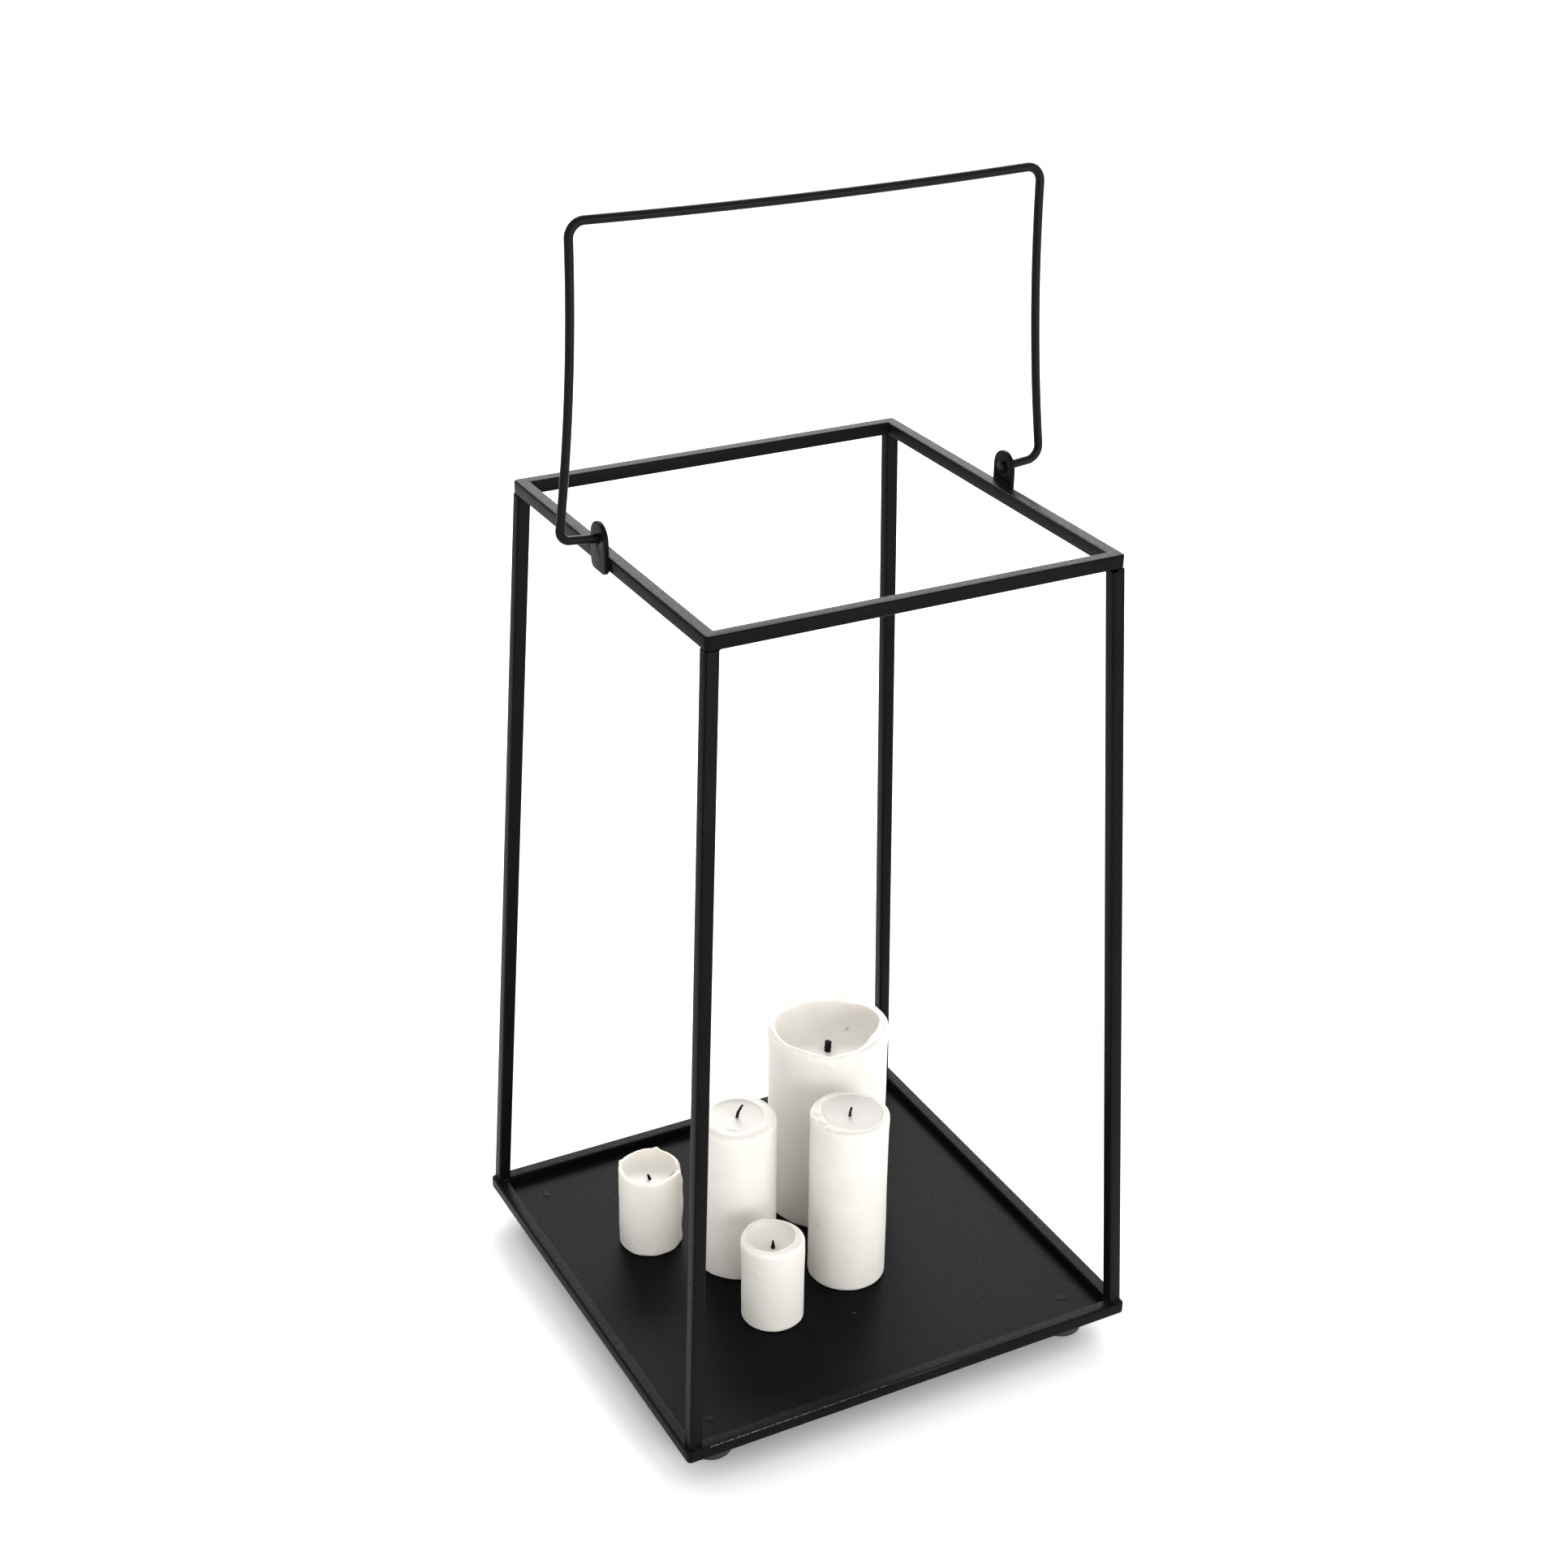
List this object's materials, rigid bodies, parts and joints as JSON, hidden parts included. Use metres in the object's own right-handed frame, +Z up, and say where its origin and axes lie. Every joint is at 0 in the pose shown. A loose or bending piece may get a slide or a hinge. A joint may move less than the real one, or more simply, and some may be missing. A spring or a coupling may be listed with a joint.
{
  "type": "candle lantern",
  "caption": "Open, slightly tapered steel-frame lantern on a tray with rubber feet and a swinging wire handle, holding pillar candles that lift out through the open top.",
  "frame": {"origin": "on the floor, under the middle of the tray", "axes": "+Z up, +X along the front rail to the right, +Y from the front rail to the back rail; the handle turns about a line along X"},
  "size_m": [0.3018, 0.3, 0.7012],
  "materials": {
    "coated_steel": "satin black powder coat",
    "black_rubber": "moulded, matt",
    "white_wax": "smooth translucent paraffin wax",
    "charred_wick": "braided cotton, charred"
  },
  "bodies": {
    "lantern_frame": {"base_rail_front": "coated_steel", "base_rail_right": "coated_steel", "base_rail_back": "coated_steel", "base_rail_left": "coated_steel", "top_rail_front": "coated_steel", "top_rail_right": "coated_steel", "top_rail_back": "coated_steel", "top_rail_left": "coated_steel", "leg_front_left": "coated_steel", "leg_front_right": "coated_steel", "leg_back_right": "coated_steel", "leg_back_left": "coated_steel", "handle_tab_right": "coated_steel", "handle_tab_left": "coated_steel", "tray_plate": "coated_steel", "foot_front_left": "black_rubber", "foot_front_right": "black_rubber", "foot_back_right": "black_rubber", "foot_back_left": "black_rubber", "foot_rivet_front_left": "coated_steel", "foot_rivet_front_right": "coated_steel", "foot_rivet_back_right": "coated_steel", "foot_rivet_back_left": "coated_steel"},
    "handle": {"carry_handle": "coated_steel"},
    "candle_small_left": {"candle_small_left": "white_wax", "wick_small_left": "charred_wick"},
    "candle_medium_left": {"candle_medium_left": "white_wax", "wick_medium_left": "charred_wick"},
    "candle_small_front": {"candle_small_front": "white_wax", "wick_small_front": "charred_wick"},
    "candle_medium_right": {"candle_medium_right": "white_wax", "wick_medium_right": "charred_wick"},
    "candle_large_back": {"candle_large_back": "white_wax", "wick_large_back": "charred_wick"}
  },
  "joints": [
    {"name": "handle_swing", "type": "hinge", "parent": "lantern_frame", "child": "handle", "pos_m": [0, 0, 0.5285], "axis": [1, 0, 0], "range_deg": [-128, 128]},
    {"name": "lift_small_left", "type": "slide", "parent": "lantern_frame", "child": "candle_small_left", "axis": [0, 0, 1], "range_m": [0, 0.505]},
    {"name": "lift_medium_left", "type": "slide", "parent": "lantern_frame", "child": "candle_medium_left", "axis": [0, 0, 1], "range_m": [0, 0.505]},
    {"name": "lift_small_front", "type": "slide", "parent": "lantern_frame", "child": "candle_small_front", "axis": [0, 0, 1], "range_m": [0, 0.505]},
    {"name": "lift_medium_right", "type": "slide", "parent": "lantern_frame", "child": "candle_medium_right", "axis": [0, 0, 1], "range_m": [0, 0.505]},
    {"name": "lift_large_back", "type": "slide", "parent": "lantern_frame", "child": "candle_large_back", "axis": [0, 0, 1], "range_m": [0, 0.505]}
  ]
}
